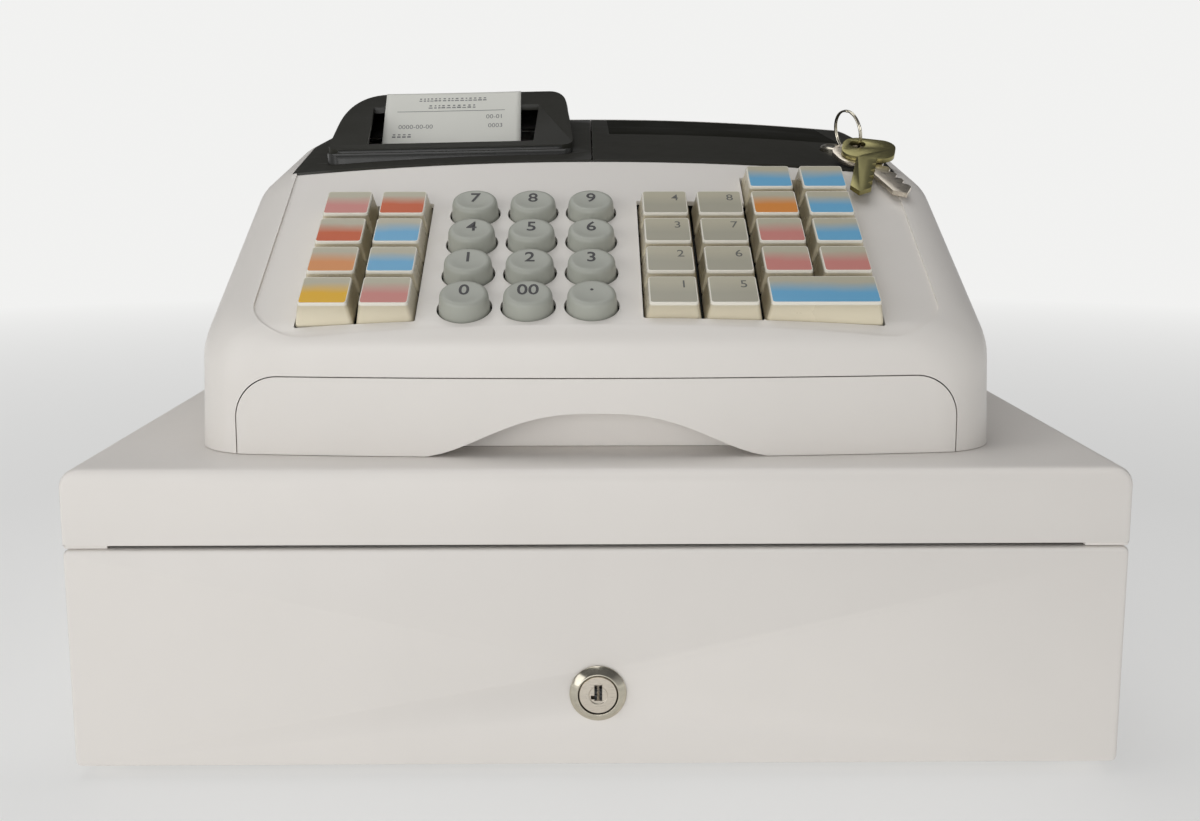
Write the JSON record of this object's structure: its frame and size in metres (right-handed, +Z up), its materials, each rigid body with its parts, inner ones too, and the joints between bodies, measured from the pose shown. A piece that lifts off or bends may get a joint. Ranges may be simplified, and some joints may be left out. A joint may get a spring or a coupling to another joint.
{
  "type": "ticket register",
  "caption": "Electronic till head with sloped keys, receipt printer and amount window, standing on a locking steel cash drawer cabinet.",
  "frame": {"origin": "on the standing surface, under the middle of the footprint", "axes": "+Z up, -Y towards the user and the drawer's way out, +X to the user's right"},
  "size_m": [0.3324, 0.3626, 0.2237],
  "materials": {
    "cabinet_paint": "satin white powder paint",
    "zinc_sheet": "bright zinc plated sheet",
    "housing_plastic": "fine grained off-white moulding",
    "black_plastic": "fine grained black moulding",
    "tray_plastic": "grained dark moulding",
    "clip_plastic": "grey moulding",
    "paper": "thermal paper",
    "lock_chrome": "polished chrome plating",
    "lock_satin": "satin nickel plating",
    "brass_plate": "worn brass",
    "printer_plastic": "black moulding",
    "round_key_plastic": "light grey moulding",
    "key_cap_plastic": "cream moulding under a clear cover"
  },
  "bodies": {
    "register_body": {"cabinet_cover": "cabinet_paint", "cabinet_base": "zinc_sheet", "upper_housing": "housing_plastic", "front_skirt": "housing_plastic", "lower_case": "housing_plastic", "display_bezel": "black_plastic", "print_unit": "printer_plastic", "key_board": "printer_plastic"},
    "drawer": {"drawer_box": "zinc_sheet", "drawer_front": "cabinet_paint", "coin_note_tray": "tray_plastic", "drawer_lock_rim": "lock_chrome"},
    "drawer_lock": {"drawer_lock_plug": "lock_satin"},
    "printer_cover": {"printer_cover": "black_plastic", "receipt_paper": "paper"},
    "paper_roll": {"paper_roll": "paper"},
    "mode_lock": {"mode_lock": "lock_chrome"},
    "silver_key": {"silver_key": "lock_satin"},
    "brass_key": {"brass_key": "brass_plate"},
    "key_ring": {"key_ring": "lock_chrome"},
    "note_clip_1": {"note_clip_1": "clip_plastic"},
    "note_clip_2": {"note_clip_2": "clip_plastic"},
    "note_clip_3": {"note_clip_3": "clip_plastic"},
    "key_left_a1": {"key_left_a1": "key_cap_plastic"},
    "key_left_b1": {"key_left_b1": "key_cap_plastic"},
    "key_left_a2": {"key_left_a2": "key_cap_plastic"},
    "key_left_b2": {"key_left_b2": "key_cap_plastic"},
    "key_left_a3": {"key_left_a3": "key_cap_plastic"},
    "key_left_b3": {"key_left_b3": "key_cap_plastic"},
    "key_left_a4": {"key_left_a4": "key_cap_plastic"},
    "key_left_b4": {"key_left_b4": "key_cap_plastic"},
    "key_department_a1": {"key_department_a1": "key_cap_plastic"},
    "key_department_b1": {"key_department_b1": "key_cap_plastic"},
    "key_department_a2": {"key_department_a2": "key_cap_plastic"},
    "key_department_b2": {"key_department_b2": "key_cap_plastic"},
    "key_department_a3": {"key_department_a3": "key_cap_plastic"},
    "key_department_b3": {"key_department_b3": "key_cap_plastic"},
    "key_department_a4": {"key_department_a4": "key_cap_plastic"},
    "key_department_b4": {"key_department_b4": "key_cap_plastic"},
    "key_function_a2": {"key_function_a2": "key_cap_plastic"},
    "key_function_b2": {"key_function_b2": "key_cap_plastic"},
    "key_function_a3": {"key_function_a3": "key_cap_plastic"},
    "key_function_b3": {"key_function_b3": "key_cap_plastic"},
    "key_function_a4": {"key_function_a4": "key_cap_plastic"},
    "key_function_b4": {"key_function_b4": "key_cap_plastic"},
    "key_function_a5": {"key_function_a5": "key_cap_plastic"},
    "key_function_b5": {"key_function_b5": "key_cap_plastic"},
    "key_function_wide": {"key_function_wide": "key_cap_plastic"},
    "key_number_0": {"key_number_0": "round_key_plastic"},
    "key_number_00": {"key_number_00": "round_key_plastic"},
    "key_number_point": {"key_number_point": "round_key_plastic"},
    "key_number_1": {"key_number_1": "round_key_plastic"},
    "key_number_2": {"key_number_2": "round_key_plastic"},
    "key_number_3": {"key_number_3": "round_key_plastic"},
    "key_number_4": {"key_number_4": "round_key_plastic"},
    "key_number_5": {"key_number_5": "round_key_plastic"},
    "key_number_6": {"key_number_6": "round_key_plastic"},
    "key_number_7": {"key_number_7": "round_key_plastic"},
    "key_number_8": {"key_number_8": "round_key_plastic"},
    "key_number_9": {"key_number_9": "round_key_plastic"}
  },
  "joints": [
    {"name": "drawer_slide", "type": "slide", "parent": "register_body", "child": "drawer", "axis": [0, -1, 0], "range_m": [0, 0.22]},
    {"name": "drawer_lock_turn", "type": "hinge", "parent": "drawer", "child": "drawer_lock", "pos_m": [0, -0.17875, 0.028], "axis": [0, 1, 0], "range_deg": [0, 90]},
    {"name": "note_clip_1_lift", "type": "hinge", "parent": "drawer", "child": "note_clip_1", "pos_m": [-0.0989, 0.1496, 0.06465], "axis": [-1, 0, 0], "range_deg": [0, 34], "stiffness_Nm_per_rad": 0.02, "springref_deg": -17.19},
    {"name": "note_clip_2_lift", "type": "hinge", "parent": "drawer", "child": "note_clip_2", "pos_m": [0, 0.1496, 0.06465], "axis": [-1, 0, 0], "range_deg": [0, 34], "stiffness_Nm_per_rad": 0.02, "springref_deg": -17.19},
    {"name": "note_clip_3_lift", "type": "hinge", "parent": "drawer", "child": "note_clip_3", "pos_m": [0.0989, 0.1496, 0.06465], "axis": [-1, 0, 0], "range_deg": [0, 34], "stiffness_Nm_per_rad": 0.02, "springref_deg": -17.19},
    {"name": "printer_cover_hinge", "type": "hinge", "parent": "register_body", "child": "printer_cover", "pos_m": [-0.06, 0.06854, 0.21244], "axis": [-1, 0, 0], "range_deg": [0, 75]},
    {"name": "paper_roll_spin", "type": "hinge", "parent": "register_body", "child": "paper_roll", "pos_m": [-0.0585, 0.03725, 0.1625], "axis": [1, 0, 0], "continuous": true},
    {"name": "mode_lock_turn", "type": "hinge", "parent": "register_body", "child": "mode_lock", "pos_m": [0.099, -0.01876, 0.19749], "axis": [0.0778, -0.1731, 0.9818], "range_deg": [-45, 90]},
    {"name": "silver_key_swing", "type": "hinge", "parent": "register_body", "child": "silver_key", "pos_m": [0.1008, -0.0488, 0.19732], "axis": [0, -0.454, 0.891], "range_deg": [-5, 8]},
    {"name": "brass_key_swing", "type": "hinge", "parent": "register_body", "child": "brass_key", "pos_m": [0.1008, -0.04973, 0.19914], "axis": [0, -0.454, 0.891], "range_deg": [0, 12]},
    {"name": "key_ring_tip", "type": "hinge", "parent": "register_body", "child": "key_ring", "pos_m": [0.1008, -0.04926, 0.19823], "axis": [-0.454, 0.7939, 0.4045], "range_deg": [-18, 18]},
    {"name": "key_left_a1_press", "type": "slide", "parent": "register_body", "child": "key_left_a1", "axis": [0, 0.454, -0.891], "range_m": [0, 0.003], "stiffness_N_per_m": 220, "springref_m": -0.0012},
    {"name": "key_left_b1_press", "type": "slide", "parent": "register_body", "child": "key_left_b1", "axis": [0, 0.454, -0.891], "range_m": [0, 0.003], "stiffness_N_per_m": 220, "springref_m": -0.0012},
    {"name": "key_left_a2_press", "type": "slide", "parent": "register_body", "child": "key_left_a2", "axis": [0, 0.454, -0.891], "range_m": [0, 0.003], "stiffness_N_per_m": 220, "springref_m": -0.0012},
    {"name": "key_left_b2_press", "type": "slide", "parent": "register_body", "child": "key_left_b2", "axis": [0, 0.454, -0.891], "range_m": [0, 0.003], "stiffness_N_per_m": 220, "springref_m": -0.0012},
    {"name": "key_left_a3_press", "type": "slide", "parent": "register_body", "child": "key_left_a3", "axis": [0, 0.454, -0.891], "range_m": [0, 0.003], "stiffness_N_per_m": 220, "springref_m": -0.0012},
    {"name": "key_left_b3_press", "type": "slide", "parent": "register_body", "child": "key_left_b3", "axis": [0, 0.454, -0.891], "range_m": [0, 0.003], "stiffness_N_per_m": 220, "springref_m": -0.0012},
    {"name": "key_left_a4_press", "type": "slide", "parent": "register_body", "child": "key_left_a4", "axis": [0, 0.454, -0.891], "range_m": [0, 0.003], "stiffness_N_per_m": 220, "springref_m": -0.0012},
    {"name": "key_left_b4_press", "type": "slide", "parent": "register_body", "child": "key_left_b4", "axis": [0, 0.454, -0.891], "range_m": [0, 0.003], "stiffness_N_per_m": 220, "springref_m": -0.0012},
    {"name": "key_department_a1_press", "type": "slide", "parent": "register_body", "child": "key_department_a1", "axis": [0, 0.454, -0.891], "range_m": [0, 0.003], "stiffness_N_per_m": 220, "springref_m": -0.0012},
    {"name": "key_department_b1_press", "type": "slide", "parent": "register_body", "child": "key_department_b1", "axis": [0, 0.454, -0.891], "range_m": [0, 0.003], "stiffness_N_per_m": 220, "springref_m": -0.0012},
    {"name": "key_department_a2_press", "type": "slide", "parent": "register_body", "child": "key_department_a2", "axis": [0, 0.454, -0.891], "range_m": [0, 0.003], "stiffness_N_per_m": 220, "springref_m": -0.0012},
    {"name": "key_department_b2_press", "type": "slide", "parent": "register_body", "child": "key_department_b2", "axis": [0, 0.454, -0.891], "range_m": [0, 0.003], "stiffness_N_per_m": 220, "springref_m": -0.0012},
    {"name": "key_department_a3_press", "type": "slide", "parent": "register_body", "child": "key_department_a3", "axis": [0, 0.454, -0.891], "range_m": [0, 0.003], "stiffness_N_per_m": 220, "springref_m": -0.0012},
    {"name": "key_department_b3_press", "type": "slide", "parent": "register_body", "child": "key_department_b3", "axis": [0, 0.454, -0.891], "range_m": [0, 0.003], "stiffness_N_per_m": 220, "springref_m": -0.0012},
    {"name": "key_department_a4_press", "type": "slide", "parent": "register_body", "child": "key_department_a4", "axis": [0, 0.454, -0.891], "range_m": [0, 0.003], "stiffness_N_per_m": 220, "springref_m": -0.0012},
    {"name": "key_department_b4_press", "type": "slide", "parent": "register_body", "child": "key_department_b4", "axis": [0, 0.454, -0.891], "range_m": [0, 0.003], "stiffness_N_per_m": 220, "springref_m": -0.0012},
    {"name": "key_function_a2_press", "type": "slide", "parent": "register_body", "child": "key_function_a2", "axis": [0, 0.454, -0.891], "range_m": [0, 0.003], "stiffness_N_per_m": 220, "springref_m": -0.0012},
    {"name": "key_function_b2_press", "type": "slide", "parent": "register_body", "child": "key_function_b2", "axis": [0, 0.454, -0.891], "range_m": [0, 0.003], "stiffness_N_per_m": 220, "springref_m": -0.0012},
    {"name": "key_function_a3_press", "type": "slide", "parent": "register_body", "child": "key_function_a3", "axis": [0, 0.454, -0.891], "range_m": [0, 0.003], "stiffness_N_per_m": 220, "springref_m": -0.0012},
    {"name": "key_function_b3_press", "type": "slide", "parent": "register_body", "child": "key_function_b3", "axis": [0, 0.454, -0.891], "range_m": [0, 0.003], "stiffness_N_per_m": 220, "springref_m": -0.0012},
    {"name": "key_function_a4_press", "type": "slide", "parent": "register_body", "child": "key_function_a4", "axis": [0, 0.454, -0.891], "range_m": [0, 0.003], "stiffness_N_per_m": 220, "springref_m": -0.0012},
    {"name": "key_function_b4_press", "type": "slide", "parent": "register_body", "child": "key_function_b4", "axis": [0, 0.454, -0.891], "range_m": [0, 0.003], "stiffness_N_per_m": 220, "springref_m": -0.0012},
    {"name": "key_function_a5_press", "type": "slide", "parent": "register_body", "child": "key_function_a5", "axis": [0, 0.454, -0.891], "range_m": [0, 0.003], "stiffness_N_per_m": 220, "springref_m": -0.0012},
    {"name": "key_function_b5_press", "type": "slide", "parent": "register_body", "child": "key_function_b5", "axis": [0, 0.454, -0.891], "range_m": [0, 0.003], "stiffness_N_per_m": 220, "springref_m": -0.0012},
    {"name": "key_function_wide_press", "type": "slide", "parent": "register_body", "child": "key_function_wide", "axis": [0, 0.454, -0.891], "range_m": [0, 0.003], "stiffness_N_per_m": 220, "springref_m": -0.0012},
    {"name": "key_number_0_press", "type": "slide", "parent": "register_body", "child": "key_number_0", "axis": [0, 0.454, -0.891], "range_m": [0, 0.003], "stiffness_N_per_m": 220, "springref_m": -0.0012},
    {"name": "key_number_00_press", "type": "slide", "parent": "register_body", "child": "key_number_00", "axis": [0, 0.454, -0.891], "range_m": [0, 0.003], "stiffness_N_per_m": 220, "springref_m": -0.0012},
    {"name": "key_number_point_press", "type": "slide", "parent": "register_body", "child": "key_number_point", "axis": [0, 0.454, -0.891], "range_m": [0, 0.003], "stiffness_N_per_m": 220, "springref_m": -0.0012},
    {"name": "key_number_1_press", "type": "slide", "parent": "register_body", "child": "key_number_1", "axis": [0, 0.454, -0.891], "range_m": [0, 0.003], "stiffness_N_per_m": 220, "springref_m": -0.0012},
    {"name": "key_number_2_press", "type": "slide", "parent": "register_body", "child": "key_number_2", "axis": [0, 0.454, -0.891], "range_m": [0, 0.003], "stiffness_N_per_m": 220, "springref_m": -0.0012},
    {"name": "key_number_3_press", "type": "slide", "parent": "register_body", "child": "key_number_3", "axis": [0, 0.454, -0.891], "range_m": [0, 0.003], "stiffness_N_per_m": 220, "springref_m": -0.0012},
    {"name": "key_number_4_press", "type": "slide", "parent": "register_body", "child": "key_number_4", "axis": [0, 0.454, -0.891], "range_m": [0, 0.003], "stiffness_N_per_m": 220, "springref_m": -0.0012},
    {"name": "key_number_5_press", "type": "slide", "parent": "register_body", "child": "key_number_5", "axis": [0, 0.454, -0.891], "range_m": [0, 0.003], "stiffness_N_per_m": 220, "springref_m": -0.0012},
    {"name": "key_number_6_press", "type": "slide", "parent": "register_body", "child": "key_number_6", "axis": [0, 0.454, -0.891], "range_m": [0, 0.003], "stiffness_N_per_m": 220, "springref_m": -0.0012},
    {"name": "key_number_7_press", "type": "slide", "parent": "register_body", "child": "key_number_7", "axis": [0, 0.454, -0.891], "range_m": [0, 0.003], "stiffness_N_per_m": 220, "springref_m": -0.0012},
    {"name": "key_number_8_press", "type": "slide", "parent": "register_body", "child": "key_number_8", "axis": [0, 0.454, -0.891], "range_m": [0, 0.003], "stiffness_N_per_m": 220, "springref_m": -0.0012},
    {"name": "key_number_9_press", "type": "slide", "parent": "register_body", "child": "key_number_9", "axis": [0, 0.454, -0.891], "range_m": [0, 0.003], "stiffness_N_per_m": 220, "springref_m": -0.0012}
  ]
}
